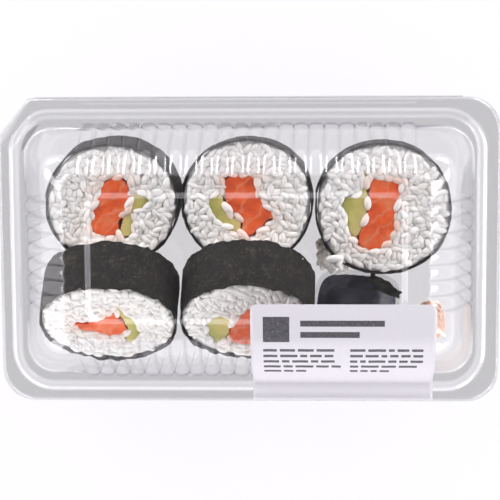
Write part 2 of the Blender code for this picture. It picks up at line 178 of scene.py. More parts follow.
class PackSettings(bpy.types.PropertyGroup):
    """The clear formed pack."""

    sheet: length_property("Sheet", "Thickness of the formed plastic", 0.35)
    tint: colour_property("Tint", "Colour that each surface of the flat sheet lets through", "#F3F3F3")
    # The drawn tint also paints a highlight along the snap bead; the bend tint paints shade at the rims'
    # tight bends
    drawn_tint: colour_property("Drawn tint", "The same where drawing thinned the sheet", "#FAFAFA")
    bend_tint: colour_property("Bend tint", "The same at the tight bends of the rims", "#D8D7DB")
    bead_rise: length_property("Bead rise", "Height of the snap bead on both flanges", 1.0)
    flute_depth: length_property("Flute depth", "Depth of the lid's flutes", 1.5)


class FoodSettings(bpy.types.PropertyGroup):
    """The rolls and what lies beside them."""

    grain_length: length_property("Grain length", "Mean length of a cooked grain of rice", 5.4)
    grain_width: length_property("Grain width", "Mean width of a cooked grain of rice", 2.9)
    grain_step: length_property("Grain step", "Distance between grains on a cut face", 2.05)
    rice: colour_property("Rice", "Cooked rice", "#FBF8F3")
    stain: colour_property("Stained rice", "Rice that took colour from the salmon", "#F0CDBF")
    salmon: colour_property("Salmon", "Raw salmon flesh", "#E85F28")
    fat: colour_property("Fat lines", "Pale lines through the salmon", "#E0926F")
    avocado_rind: colour_property("Avocado rim", "Flesh that lay next to the skin", "#A3A252")
    avocado_heart: colour_property("Avocado heart", "Flesh that lay next to the stone", "#D3C07E")
    nori: colour_property("Nori", "Roasted seaweed", "#161513")
    ginger: colour_property("Ginger", "Pickled ginger", "#EBC3AA")


class LabelSettings(bpy.types.PropertyGroup):
    """The label on the lid."""

    paper: colour_property("Paper", "Coated label paper", "#C3C0C5")
    ink: colour_property("Ink", "Printed bars", "#3A393D")
    thickness: length_property("Thickness", "Thickness of the label", 0.12)


class StageSettings(bpy.types.PropertyGroup):
    """Floor, light and camera."""

    floor: colour_property("Table", "Opal table that the pack stands on", "#626263")
    ambient: bpy.props.FloatProperty(
        name="Ambient", description="Strength of the light tent", default=2.85, min=0
    )
    softbox: bpy.props.FloatProperty(
        name="Softboxes", description="Power of each side softbox", subtype="POWER", unit="POWER",
        default=3.0, min=0,
    )
    glow: bpy.props.FloatProperty(
        name="Table glow", description="Light that the table gives from below", default=0.86, min=0
    )


class TraySettings(bpy.types.PropertyGroup):
    """All settings of the sushi tray."""

    pack: bpy.props.PointerProperty(type=PackSettings)
    food: bpy.props.PointerProperty(type=FoodSettings)
    label: bpy.props.PointerProperty(type=LabelSettings)
    stage: bpy.props.PointerProperty(type=StageSettings)


# Shared helpers


def add_node(tree, kind, inputs=None, stops=None, **settings):
    """Add a node, set its options, sockets and colour stops, and link the sockets given as inputs."""
    made = tree.nodes.new(kind)
    for name, value in settings.items():
        setattr(made, name, value)
    for name, value in (inputs or {}).items():
        if isinstance(value, bpy.types.NodeSocket):
            tree.links.new(value, made.inputs[name])
        else:
            made.inputs[name].default_value = value
    for index, (position, colour) in enumerate(stops or []):
        if index < 2:
            stop = made.color_ramp.elements[index]
            stop.position = position
        else:
            stop = made.color_ramp.elements.new(position)
        stop.color = colour
    return made


def new_material(name):
    """An empty node material: returns it with its node tree and the piece's own coordinates."""
    made = bpy.data.materials.new(name)
    made.use_nodes = True
    made.node_tree.nodes.clear()
    position = add_node(made.node_tree, "ShaderNodeTexCoord").outputs["Object"]
    return made, made.node_tree, position


def add_noise(tree, position, scale, detail, roughness=0.5, distortion=0.0):
    """Noise over a piece, with its lumps set by a scale per metre."""
    return add_node(tree, "ShaderNodeTexNoise", {
        "Vector": position, "Scale": scale, "Detail": detail, "Roughness": roughness,
        "Distortion": distortion,
    }).outputs[0]


def add_ramp(tree, value, *stops):
    """Colours along a value; a stop between the first two comes last."""
    return add_node(tree, "ShaderNodeValToRGB", {0: value}, stops=stops).outputs[0]


def add_mix(tree, share, first, second):
    """A colour between two others."""
    inputs = {0: share, 6: first, 7: second}
    return add_node(tree, "ShaderNodeMix", inputs, data_type="RGBA").outputs[2]


def add_math(tree, operation, *values):
    """The result of a sum, product or power."""
    return add_node(tree, "ShaderNodeMath", dict(enumerate(values)), operation=operation).outputs[0]


def add_attribute(tree, name):
    """A value that was set on each vert."""
    return add_node(tree, "ShaderNodeAttribute", attribute_name=name).outputs["Fac"]


def add_bump(tree, height, strength, distance):
    """Fine relief, as a normal, with its depth in metres."""
    inputs = {"Height": height, "Strength": strength, "Distance": distance}
    return add_node(tree, "ShaderNodeBump", inputs).outputs[0]


def finish_material(made, shader):
    """Give a material its surface."""
    add_node(made.node_tree, "ShaderNodeOutputMaterial", {"Surface": shader})
    return made


def finish_solid(made, colour, roughness, normal=None, flesh=None, **more):
    """Give a material a Principled surface; flesh is the weight, radius and scale of its depth."""
    inputs = {"Base Color": colour, "Roughness": roughness}
    if normal:
        inputs["Normal"] = normal
    if flesh:
        inputs["Subsurface Weight"], inputs["Subsurface Radius"], inputs["Subsurface Scale"] = flesh
    for name, value in more.items():
        inputs[SOCKETS[name]] = value
    return finish_material(made, add_node(made.node_tree, "ShaderNodeBsdfPrincipled", inputs).outputs[0])


def link_object(name, data):
    """A new object in the scene."""
    made = bpy.data.objects.new(name, data)
    bpy.context.scene.collection.objects.link(made)
    return made


def smooth_object(name, bm, finishes, smooth_angle=None):
    """Turn a bmesh into a smooth object, sharp only at edges above an angle."""
    mesh = bpy.data.meshes.new(name)
    bm.to_mesh(mesh)
    bm.free()
    mesh.shade_smooth()
    if smooth_angle is not None:
        mesh.set_sharp_from_angle(angle=math.radians(smooth_angle))
    for finish in finishes:
        mesh.materials.append(finish)
    return link_object(name, mesh)


def add_piece(name, bm, body, slot, finishes, replaced=(), smooth_angle=None):
    """Turn a bmesh into a finished piece that rides on a body; what is inside rests on the floor."""
    if slot not in ("clear_plastic", "label_paper"):
        for vert in bm.verts:
            vert.co.z = max(vert.co.z, FLOOR_TOP * MM)
    made = smooth_object(name, bm, finishes, smooth_angle)
    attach(made, body)
    if replaced:
        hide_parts(*replaced)
    return made


def give_wall(piece, thickness, offset=-1.0):
    """Turn an open surface into a thin closed wall."""
    wall = piece.modifiers.new("wall", "SOLIDIFY")
    wall.thickness = thickness
    wall.offset = offset
    wall.use_quality_normals = True


def start_ring(bm, places):
    """A closed ring of joined verts at the given places."""
    ring = bmesh.ops.create_circle(bm, segments=len(places), radius=1.0)["verts"]
    for vert, place in zip(ring, places):
        vert.co = place
    return ring


def start_chain(bm, places):
    """An open chain of joined verts at the given places."""
    chain = [bm.verts.new(place) for place in places]
    for first, second in zip(chain, chain[1:]):
        bm.edges.new((first, second))
    return chain


def next_ring(bm, ring, places):
    """Extrude a ring or chain and move its copy to the given places."""
    pairs = [(ring[i - 1], ring[i]) for i in range(len(ring))]
    edges = list({edge for edge in map(bm.edges.get, pairs) if edge})
    geom = bmesh.ops.extrude_edge_only(bm, edges=edges)["geom"]
    fresh = {item for item in geom if isinstance(item, bmesh.types.BMVert)}
    copy = [
        next(edge.other_vert(vert) for edge in vert.link_edges if edge.other_vert(vert) in fresh)
        for vert in ring
    ]
    for vert, place in zip(copy, places):
        vert.co = place
    return copy


def cap_ring(bm, ring):
    """Close a ring with one flat face."""
    edges = [bm.edges.get((ring[i - 1], ring[i])) for i in range(len(ring))]
    bmesh.ops.contextual_create(bm, geom=edges)


def align_faces(bm):
    """Turn all faces the same way, which is outwards on a closed mesh."""
    bmesh.ops.recalc_face_normals(bm, faces=bm.faces)


def face_up(bm):
    """Turn an open sheet's faces upwards, judged by its largest face."""
    align_faces(bm)
    if max(bm.faces, key=lambda face: face.calc_area()).normal.z < 0:
        bmesh.ops.reverse_faces(bm, faces=bm.faces)


def merged_copy(node):
    """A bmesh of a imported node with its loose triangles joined."""
    bm = bmesh.new()
    bm.from_mesh(frame["nodes"][node].data)
    bmesh.ops.remove_doubles(bm, verts=bm.verts, dist=0.002 * MM)
    return bm


def refine(bm, longest):
    """Split edges until none is much longer than a length."""
    for _ in range(6):
        bmesh.ops.triangulate(bm, faces=[face for face in bm.faces if len(face.verts) > 3])
        long_edges = [edge for edge in bm.edges if edge.calc_length() > longest]
        if not long_edges:
            break
        bmesh.ops.subdivide_edges(bm, edges=long_edges, cuts=1)
    bmesh.ops.triangulate(bm, faces=[face for face in bm.faces if len(face.verts) > 3])


def soften(bm, factor):
    """Move every vert towards the middle of its neighbours."""
    bmesh.ops.smooth_vert(
        bm, verts=bm.verts, factor=factor, use_axis_x=True, use_axis_y=True, use_axis_z=True
    )


def wander(place, scale, seed):
    """Smooth noise from -1 to 1 whose lumps are about one scale, in millimetres, across."""
    return noise.noise(Vector(place) / (scale * MM) + Vector((seed, 1.7 * seed, -seed)))


def drift(place, scale, seed, gap):
    """A sideways shift by two noises whose seeds lie a gap apart."""
    return Vector((wander(place, scale, seed), wander(place, scale, seed + gap), 0.0))


# Clear pack


def clear_rpet_thermoformed(settings):
    """Recycled PET sheet, vacuum formed: glossy, greyish where flat and clearer where drawn thin, with a
    painted highlight along the bead and painted shade at the tight bends.
    """
    made, tree, position = new_material("clear_rpet_thermoformed")
    drawn = add_attribute(tree, "drawn")
    # 0 at a tight bend, where the darker tint is painted shade for the light that the bend spreads away,
    # 0.5 where the sheet is flat, 1 where it is drawn thin and along the bead, where the lighter tint is
    # partly a painted highlight
    tint = add_ramp(tree, drawn, (0.1, settings.bend_tint), (0.95, settings.drawn_tint),
                    (0.5, settings.tint))
    # Sheet stretched over a tool is faintly wavy, about one wave every 9 mm
    waves = add_noise(tree, position, 110.0, 1.0)
    clear = clear_sheet(tree, tint, 0.05, add_bump(tree, waves, 0.12, 0.0006))
    # Where the sheet was drawn, stress whitens it a little
    haze = add_node(tree, "ShaderNodeBsdfDiffuse", {"Color": linear("#FBF9FC")})
    return finish_material(made, mix_shaders(
        tree, add_math(tree, "MULTIPLY", drawn, DRAWN_HAZE), clear, haze.outputs[0]
    ))


def mix_shaders(tree, share, first, second):
    """A surface between two others."""
    return add_node(tree, "ShaderNodeMixShader", {0: share, 1: first, 2: second}).outputs[0]


def clear_sheet(tree, tint, roughness, normal):
    """Light passes through a sheet unbent, and more of it is reflected at a glancing angle."""
    clear = add_node(tree, "ShaderNodeBsdfTransparent", {"Color": tint})
    gloss = add_node(
        tree, "ShaderNodeBsdfGlossy",
        {"Color": linear("#EFEEF1"), "Roughness": roughness, "Normal": normal},
    )
    facing = add_node(tree, "ShaderNodeLayerWeight", {"Blend": 0.5, "Normal": normal})
    steep = add_math(tree, "POWER", facing.outputs["Facing"], 5.0)
    share = add_math(tree, "MULTIPLY_ADD", steep, 0.7, 0.04)
    return mix_shaders(tree, share, clear.outputs[0], gloss.outputs[0])


def flute_row(count, depth, proud):
    """(along, inwards) of one side's flutes: round crests with narrow valleys between them."""
    points = []
    for step in range(count * FLUTE_STEPS + 1):
        share = step / FLUTE_STEPS
        turn = (share % 1.0 - 0.5) * math.pi
        along = (math.floor(share) + (math.sin(turn) + 1) / 2 - count / 2) * FLUTE_PITCH
        flat_end = not proud and (share <= 0.5 or share >= count - 0.5)
        points.append((along, 0.0 if flat_end else depth * (1 - math.cos(turn))))
    return points


def cut_corner(point, share, station, cut):
    """A corner point moved to the straight cut, which the outer rings follow and the others keep off."""
    width, depth = cad_high.x / MM, cad_high.y / MM
    inset = width - station.half_x
    length = math.hypot(*cut)
    if inset < 2.5:
        excess = inset * (cut[0] + cut[1] - length)
        leg_x, leg_y = cut[0] - excess / cut[1], cut[1] - excess / cut[0]
        return (-station.half_x + leg_x * (1 - share), station.half_y - leg_y * share)
    outwards = (-cut[1] / length, cut[0] / length)
    line = (cut[0] - width) * outwards[0] + depth * outwards[1] - inset
    over = max(0.0, point[0] * outwards[0] + point[1] * outwards[1] - line)
    return (point[0] - over * outwards[0], point[1] - over * outwards[1])


def ring_places(station, cut):
    """Places of one ring round a shell, anticlockwise from the front right corner."""
    half_x, half_y, radius, z, depth, _, crease = station
    plain_y = half_y - depth  # the long walls' flutes stand proud of the plain corners
    x, y = half_x - radius, plain_y - radius
    corners = [(x, -y, -90.0), (x, y, 0.0), (-x, y, 90.0), (-x, -y, 180.0)]
    fit_long = min(1.0, x / (FLUTES_LONG * FLUTE_PITCH / 2))
    fit_short = min(1.0, y / (FLUTES_SHORT * FLUTE_PITCH / 2))
    long_row = [(a * fit_long, s) for a, s in flute_row(FLUTES_LONG, depth, True)]
    short_row = [(a * fit_short, s) for a, s in flute_row(FLUTES_SHORT, depth, False)]
    sides = [
        [(half_x - s, a) for a, s in short_row],
        [(-a, half_y - s) for a, s in long_row],
        [(-half_x + s, -a) for a, s in short_row],
        [(a, -half_y + s) for a, s in long_row],
    ]
    flat = []
    for index, ((cx, cy, start), side) in enumerate(zip(corners, sides)):
        for step in range(CORNER_STEPS + 1):
            share = step / CORNER_STEPS
            angle = math.radians(start + 90.0 * share)
            point = (cx + radius * math.cos(angle), cy + radius * math.sin(angle))
            flat.append(cut_corner(point, share, station, cut) if cut and index == 2 else point)
        flat += side
    rises = [crease if py > 0 and abs(px) < CREASE_HALF_LENGTH and abs(py - half_y) < 0.1 else 0.0
             for px, py in flat]
    return [Vector((px, py, z + rise)) * MM for (px, py), rise in zip(flat, rises)]


def between(first, second, share):
    """A station part of the way from one to another."""
    return Station(*[a + (b - a) * share for a, b in zip(first, second)])


def rounded_path(stations):
    """The stations with each bend drawn out into a short curve."""
    path = [stations[0]]
    for before, here, after in zip(stations, stations[1:], stations[2:]):
        if here.bend == 0:
            path.append(here)
            continue
        spans = [math.hypot(here.half_y - s.half_y, here.z - s.z) for s in (before, after)]
        shares = [min(0.48, here.bend / max(span, 0.001)) for span in spans]
        start, end = between(here, before, shares[0]), between(here, after, shares[1])
        for step in range(BEND_STEPS + 1):
            share = step / BEND_STEPS
            path.append(between(between(start, here, share), between(here, end, share), share))
    return path + [stations[-1]]


def evened(path, longest):
    """The path with more stations wherever two lie far apart."""
    even = [path[0]]
    for first, second in zip(path, path[1:]):
        span = math.hypot(second.half_y - first.half_y, second.z - first.z)
        parts = max(1, math.ceil(span / longest))
        even += [between(first, second, step / parts) for step in range(1, parts + 1)]
    return even


def flange(rim_z, rise):
    """Stations from the outer edge over the hinge crease and the snap bead."""
    half_x = (cad_high.x - cad_low.x) / 2 / MM
    half_y = (cad_high.y - cad_low.y) / 2 / MM
    rows = [Station(half_x, half_y, EDGE_RADIUS, rim_z, 0.0, 0.0, 0.0)]
    for inset, crease in ((1.5, 0.0), (1.9, 0.25), (2.3, 0.0)):
        radius = EDGE_RADIUS + 0.5 * inset
        rows.append(Station(half_x - inset, half_y - inset, radius, rim_z, 0.0, 0.0, crease))
    for inward, z, bend in (
        (-BEAD_HALF_WIDTH, rim_z, 0.5), (0.0, rim_z + rise * 1.35, 1.25), (BEAD_HALF_WIDTH, rim_z, 0.5)
    ):
        inset = BEAD_INSET + inward
        rows.append(
            Station(half_x - inset, half_y - inset, BEAD_RADIUS - inward, z, 0.0, bend, 0.0)
        )
    return rows


def build_shell(name, stations, cut, replaced, body, sheet, finish):
    """A formed shell from its stations, closed by a flat middle."""
    bm = bmesh.new()
    drawn = bm.verts.layers.float.new("drawn")
    ring = None
    rim = next(station.half_x for station in stations if station.depth > 0)
    for station in rounded_path(stations):
        places = ring_places(station, cut if station.half_x > 75.0 else None)
        ring = next_ring(bm, ring, places) if ring else start_ring(bm, places)
        inset = cad_high.x / MM - station.half_x
        # Painted light in the sheet's tint: a highlight along the bead, fainter at the back, and shade at
        # the rim's bend where the flutes start
        on_bead = max(0.0, 1.0 - ((inset - BEAD_INSET) / BEAD_HALF_WIDTH) ** 4)
        off_bend = min(1.0, abs(station.half_x - rim - 0.1) / 0.35)
        moved = max(0.0, 1.0 - ((inset - BEAD_INSET) / BEAD_FADE) ** 2)
        for vert in ring:
            # The bead lies a little further in on the right
            vert.co.x -= moved * MM * min(1.0, max(0.0, vert.co.x / MM - 60.0) / 15.0)
            at_back = vert.co.y > cad_high.y - 8.0 * MM
            fluted = any(abs(vert.co[i]) < FLUTED_REACH[i] * MM for i in (0, 1))
            # Walls count as drawn; on the bead the raised value is a painted highlight, and the bend's low
            # value is painted shade
            value = 1.0 if station.half_x < rim + 0.2 else 0.5 + on_bead * (0.15 if at_back else 0.5)
            vert[drawn] = value * (off_bend if fluted else 1.0)
    cap_ring(bm, ring)
    bmesh.ops.remove_doubles(bm, verts=bm.verts, dist=0.02 * MM)
    face_up(bm)
    made = add_piece(name, bm, body, "clear_plastic", [finish], [replaced], smooth_angle=55.0)
    give_wall(made, sheet)


def lid_stations(depth, rise):
    """The lid from its rim over the steep wall, the gentler slope, the ledge and the panel."""
    top = cad_high.z / MM - 0.6  # the label lies on the panel
    return flange(26.8, rise) + [
        Station(73.8, 42.1, 9.0, 26.8, depth, 0.7, 0.0),
        Station(68.0, 34.8, 8.0, 40.5, depth, 3.0, 0.0),
        Station(60.2, 27.9, 4.4, 45.2, depth * 0.85, 1.0, 0.0),
        Station(58.4, 26.4, 3.6, 46.2, 0.0, 0.8, 0.0),
        Station(51.8, 21.4, 4.5, 46.2, 0.0, 0.6, 0.0),
        Station(49.8, 19.4, 4.5, top, 0.0, 0.5, 0.0),
        Station(46.0, 15.6, 3.0, top, 0.0, 0.0, 0.0),
    ]


def base_stations(depth, rise, sheet):
    """The base from its rim down the fluted wall to the floor."""
    floor_z = sheet + 0.1  # its underside stays clear of the table's surface
    return flange(26.0, rise) + [
        Station(73.3, 41.6, 8.6, 26.0, depth * 0.8, 0.6, 0.0),
        Station(70.0, 38.3, 8.0, floor_z, depth * 0.35, 1.6, 0.0),
        Station(64.0, 32.3, 5.0, floor_z, 0.0, 0.0, 0.0),
    ]


class SUSHITRAY_OT_pack(bpy.types.Operator):
    """Build the clear base and lid and the strip that hinges them"""

    bl_idname = "sushi_tray.pack"
    bl_label = "Build Pack"

    def execute(self, context):
        settings = context.scene.sushi_tray.pack
        finish = clear_rpet_thermoformed(settings)
        depth, rise = settings.flute_depth / MM, settings.bead_rise / MM
        sheet = settings.sheet
        base = base_stations(depth, rise, sheet / MM)
        build_shell("formed_base", base, BASE_CUT, "base_tray", "base", sheet, finish)
        build_shell("formed_lid", lid_stations(depth, rise), LID_CUT, "lid", "lid", sheet, finish)
        build_hinge(sheet, finish)
        return {"FINISHED"}


def build_hinge(sheet, finish):
    """The strip of sheet that joins both flanges, curled in a half round along the hinge."""
    edge_y = cad_high.y / MM
    profile = []
    for step in range(9):
        angle = math.radians(-90.0 + 180.0 * step / 8)
        profile.append((edge_y - 0.1 + 0.55 * math.cos(angle), 26.22 + 0.42 * math.sin(angle)))
    bm = bmesh.new()
    ends = (-CREASE_HALF_LENGTH - 4.0, CREASE_HALF_LENGTH + 4.0)
    chain = start_chain(bm, [Vector((ends[0], y, z)) * MM for y, z in profile])
    for step in range(1, HINGE_STEPS + 1):
        x = ends[0] + (ends[1] - ends[0]) * step / HINGE_STEPS
        chain = next_ring(bm, chain, [Vector((x, y, z)) * MM for y, z in profile])
    align_faces(bm)
    if max(bm.faces, key=lambda face: face.calc_center_median().y).normal.y < 0:
        bmesh.ops.reverse_faces(bm, faces=bm.faces)
    bmesh.ops.solidify(bm, geom=bm.faces, thickness=sheet * 0.6)
    bmesh.ops.remove_doubles(bm, verts=bm.verts, dist=0.001 * MM)
    align_faces(bm)
    drawn = bm.verts.layers.float.new("drawn")
    for vert in bm.verts:
        vert[drawn] = 0.6
    made = smooth_object("hinge_strip", bm, [finish], 60.0)
    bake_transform(made)


# Rolls


class Roll:
    """A roll's own axes and sizes, measured on its packed wrap."""

    def __init__(self, name, lean):
        self.name = name
        turn = Matrix.Rotation(math.radians(lean), 3, "X")
        own = [turn.transposed() @ v.co for v in frame["nodes"][f"nori_{name}"].data.vertices]
        top, bottom = max(p.z for p in own), min(p.z for p in own)
        self.half = (top - bottom) / 2
        near, near_size = self.middle([p for p in own if p.z > top - 0.1 * MM])
        far, _ = self.middle([p for p in own if p.z < bottom + 0.1 * MM])
        self.radii = (near_size.x / 2, near_size.y / 2)
        axis = (near - far) / (top - bottom)
        local = Matrix((Vector((1, 0, 0)), Vector((0, 1, 0)), axis)).transposed()
        self.matrix = (turn @ local).to_4x4()
        self.matrix.translation = turn @ ((near + far) / 2)
        self.inverse = self.matrix.inverted()
        self.fillings = {}
        for kind in ("salmon", "avocado"):
            bm = merged_copy(f"{kind}_{name}")
            bm.transform(self.inverse)
            self.fillings[kind] = BVHTree.FromBMesh(bm)
            bm.free()

    @staticmethod
    def middle(points):
        """Middle and size of the points' box."""
        low = Vector(map(min, *points))
        high = Vector(map(max, *points))
        return (low + high) / 2, high - low

    def rim(self, angle, inset):
        """A point of the oval outline, moved inwards by a distance in metres."""
        c, s = math.cos(angle), math.sin(angle)
        return Vector((
            (self.radii[0] - inset) * math.copysign(abs(c) ** OVAL_POWER, c),
            (self.radii[1] - inset) * math.copysign(abs(s) ** OVAL_POWER, s),
            0.0,
        ))

    def filled(self, place):
        """True where a filling runs through the roll."""
        above = Vector((place.x, place.y, 10 * self.half))
        return any(tree.ray_cast(above, Vector((0, 0, -1)))[0] for tree in self.fillings.values())

    def nearest(self, place, kind):
        """Distance from a place to a filling's side, and the way there."""
        there, _, _, distance = self.fillings[kind].find_nearest(Vector((place.x, place.y, 0.0)))
        return distance, there - Vector((place.x, place.y, 0.0))


def roasted_nori_sheet(settings):
    """Pressed and roasted seaweed: near black, fibrous and mottled, with a dull sheen."""
    made, tree, position = new_material("roasted_nori_sheet")
    # Blotches about 4 mm across, and fibres about 0.5 mm
    blotches = add_noise(tree, position, 260.0, 5.0, roughness=0.7)
    fibres = add_noise(tree, position, 1500.0, 3.0, distortion=1.2)
    sheet = add_ramp(tree, blotches, (0.42, settings.nori), (0.68, linear("#3D3931")),
                     (0.56, linear("#1D1B18")))
    flecks = add_ramp(tree, fibres, (0.58, linear("#000000")), (0.74, linear("#FFFFFF")))
    colour = add_mix(tree, flecks, sheet, linear("#5B5347"))
    return finish_solid(made, colour, 0.6, add_bump(tree, fibres, 0.6, 0.0004), specular=0.15)


def build_nori(roll, seed, finish):
    """The seaweed round one roll: wrinkled, ragged at its edges and lapped where it ends."""
    lap_angle = math.radians(70.0 + 47.0 * seed)
    wall = NORI_CAD_WALL * MM

    def place(angle, level):
        """A point of the sheet, with level from -1 at the far edge to 1 at the shown edge."""
        here = roll.rim(angle, wall * 0.5)
        outwards = Vector((here.x / roll.radii[0] ** 2, here.y / roll.radii[1] ** 2, 0)).normalized()
        here.z = level * roll.half
        since_lap = (angle - lap_angle) % (2 * math.pi)
        lap = 0.35 * MM * max(0.0, 1.0 - since_lap / 0.9)
        folds = 0.45 * wander((here.x, here.y, here.z * 0.5), 6.0, seed)
        folds -= 1.0 * max(0.0, 0.16 - abs(wander(here, 5.0, seed + 6)))
        folds += 0.16 * wander(here, 1.5, seed + 3)
        edge = abs(level) ** 10
        here += outwards * (lap + folds * MM * (1 - 0.3 * edge))
        ragged = 0.9 * wander(here, 2.6, seed + 9) + 0.5 * wander(here, 0.9, seed + 5)
        here.z += level * edge * MM * (ragged - 0.1)
        return here

    bm = bmesh.new()
    angles = [2 * math.pi * i / WRAP_SEGMENTS for i in range(WRAP_SEGMENTS)]
    ring = start_ring(bm, [place(angle, -1.0) for angle in angles])
    for step in range(1, WRAP_LEVELS + 1):
        level = math.sin((step / WRAP_LEVELS - 0.5) * math.pi)
        ring = next_ring(bm, ring, [place(angle, level) for angle in angles])
    align_faces(bm)
    first = next(iter(bm.faces))
    if first.normal.dot(first.calc_center_median() * Vector((1, 1, 0))) < 0:
        bmesh.ops.reverse_faces(bm, faces=bm.faces)
    bm.transform(roll.matrix)
    made = add_piece(f"nori_wrap_{roll.name}", bm, "base", "nori", [finish], [f"nori_{roll.name}"])
    give_wall(made, wall * 0.85, offset=0.0)


def steamed_short_grain_rice(settings):
    """Steamed short-grain rice: moist, translucent white grains, some stained by the fish."""
    made, tree, position = new_material("steamed_short_grain_rice")
    # Each grain differs from the next, about 3 mm away
    patches = add_noise(tree, position, 330.0, 2.0)
    plain = add_ramp(tree, patches, (0.32, linear("#F1EDE8")), (0.58, settings.rice))
    colour = add_mix(tree, add_attribute(tree, "stain"), plain, settings.stain)
    skin = add_bump(tree, add_noise(tree, position, 2400.0, 2.0), 0.12, 0.0001)
    return finish_solid(made, colour, 0.5, skin, (0.5, (1.0, 0.95, 0.9), 0.0007), ior=1.4)


def add_grain(bm, settings, rng, place, angle, tilt, stain):
    """One cooked grain, a bent and slightly flat ellipsoid, added to a mesh of many."""
    grain = bmesh.new()
    bmesh.ops.create_uvsphere(grain, u_segments=8, v_segments=6, radius=0.5)
    layer = grain.verts.layers.float.new("stain")
    bend = rng.uniform(-0.28, 0.28)
    for vert in grain.verts:
        vert.co.x += bend * (0.25 - vert.co.z ** 2)
        vert[layer] = stain
    length = settings.grain_length * rng.uniform(0.85, 1.12)
    width = settings.grain_width * rng.uniform(0.88, 1.1)
    sizes = Matrix.Diagonal((width, width * rng.uniform(0.78, 0.92), length, 1.0))
    lie = Matrix.Rotation(angle, 4, "Z") @ Matrix.Rotation(math.pi / 2 + tilt, 4, "Y")
    spin = Matrix.Rotation(rng.uniform(0, math.pi), 4, "Z")
    grain.transform(Matrix.Translation(place) @ lie @ spin @ sizes)
    mesh = bpy.data.meshes.new("grain")
    grain.to_mesh(mesh)
    grain.free()
    bm.from_mesh(mesh)
    bpy.data.meshes.remove(mesh)


def stain_at(distance, rng):
    """How much colour a grain took from salmon at a distance."""
    return max(0.0, min(1.0, 0.9 * math.exp(-distance / (2.6 * MM)) * rng.uniform(0.2, 1.2)))


def build_rice(roll, seed, settings, finish):
    """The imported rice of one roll: its core, with grains pressed over both cut faces."""
    rng = random.Random(seed)
    bm = merged_copy(f"rice_{roll.name}")
    bm.transform(roll.inverse)
    for vert in bm.verts:
        vert.co.z *= 1.0 - 0.45 * MM / roll.half
    layer = bm.verts.layers.float.new("stain")
    for vert in bm.verts:
        vert[layer] = stain_at(roll.nearest(vert.co, "salmon")[0], rng)
    inset = (NORI_CAD_WALL + 0.3) * MM
    step = settings.grain_step
    rows = int(roll.radii[1] / (step * ROW_SHARE)) + 1
    columns = int(roll.radii[0] / step) + 1
    for side in (1, -1):
        for row in range(-rows, rows + 1):
            for column in range(-columns, columns + 1):
                place = Vector((
                    (column + 0.5 * (row % 2) + rng.uniform(-0.3, 0.3)) * step,
                    (row * ROW_SHARE + rng.uniform(-0.3, 0.3)) * step,
                    0.0,
                ))
                rim = roll.rim(math.atan2(place.y / roll.radii[1], place.x / roll.radii[0]), inset)
                spare = rim.length - place.length
                salmon, to_salmon = roll.nearest(place, "salmon")
                avocado, to_avocado = roll.nearest(place, "avocado")
                gap, towards = min((salmon, to_salmon), (avocado, to_avocado), key=lambda x: x[0])
                if spare < 1.2 * MM or (roll.filled(place) and gap > rng.uniform(-0.8, 0.3) * MM):
                    continue
                if spare < gap:
                    gap, towards = spare, place
                angle = rng.uniform(0, math.pi)
                tilt = rng.uniform(-0.25, 0.25)
                if gap < 2.0 * MM:
                    angle = math.atan2(towards.y, towards.x) + math.pi / 2 + rng.uniform(-0.5, 0.5)
                    tilt *= 0.5
                place.z = side * (roll.half - rng.uniform(0.9, 1.5) * MM)
                add_grain(bm, settings, rng, place, angle, tilt, stain_at(salmon, rng))
    bm.transform(roll.matrix)
    align_faces(bm)
    add_piece(f"cooked_rice_{roll.name}", bm, "base", "rice", [finish], [f"rice_{roll.name}"])


def raw_salmon_sliced(settings):
    """Raw salmon, sliced: moist orange flesh with pale, wavy lines of fat about 3 mm apart."""
    made, tree, position = new_material("raw_salmon_sliced")
    turned = add_node(
        tree, "ShaderNodeMapping", {"Vector": position, "Rotation": (0.0, 0.0, 0.9)}
    ).outputs[0]
    bands = add_node(
        tree, "ShaderNodeTexWave",
        {"Vector": turned, "Scale": 62.0, "Distortion": 6.0, "Detail": 2.0, "Detail Scale": 2.2},
    )
    fat = add_ramp(
        tree, bands.outputs["Fac"], (0.86, linear("#000000")), (1.0, linear("#BBBBBB"))
    )
    flesh = add_ramp(tree, add_noise(tree, position, 170.0, 4.0), (0.34, linear("#CC5025")),
                     (0.68, linear("#E67B50")), (0.5, settings.salmon))
    colour = add_mix(tree, fat, flesh, settings.fat)
    grain = add_bump(tree, add_noise(tree, position, 1300.0, 3.0), 0.4, 0.0002)
    return finish_solid(made, colour, 0.38, grain, (0.25, (1.0, 0.35, 0.2), 0.0012), ior=1.4)


def ripe_avocado_sliced(settings):
    """Ripe avocado, sliced: creamy flesh, green beside the skin and yellow beside the stone."""
    made, tree, position = new_material("ripe_avocado_sliced")
    smear = add_noise(tree, position, 420.0, 4.0)
    uneven = add_math(tree, "MULTIPLY_ADD", smear, 0.5, -0.25)
    across = add_math(tree, "ADD", add_attribute(tree, "rind"), uneven)
    colour = add_ramp(tree, across, (0.12, settings.avocado_heart), (0.92, settings.avocado_rind),
                      (0.5, linear("#C4B96C")))
    bump = add_bump(tree, smear, 0.4, 0.0004)
    return finish_solid(made, colour, 0.42, bump, (0.2, (1.0, 0.9, 0.4), 0.001), ior=1.42)


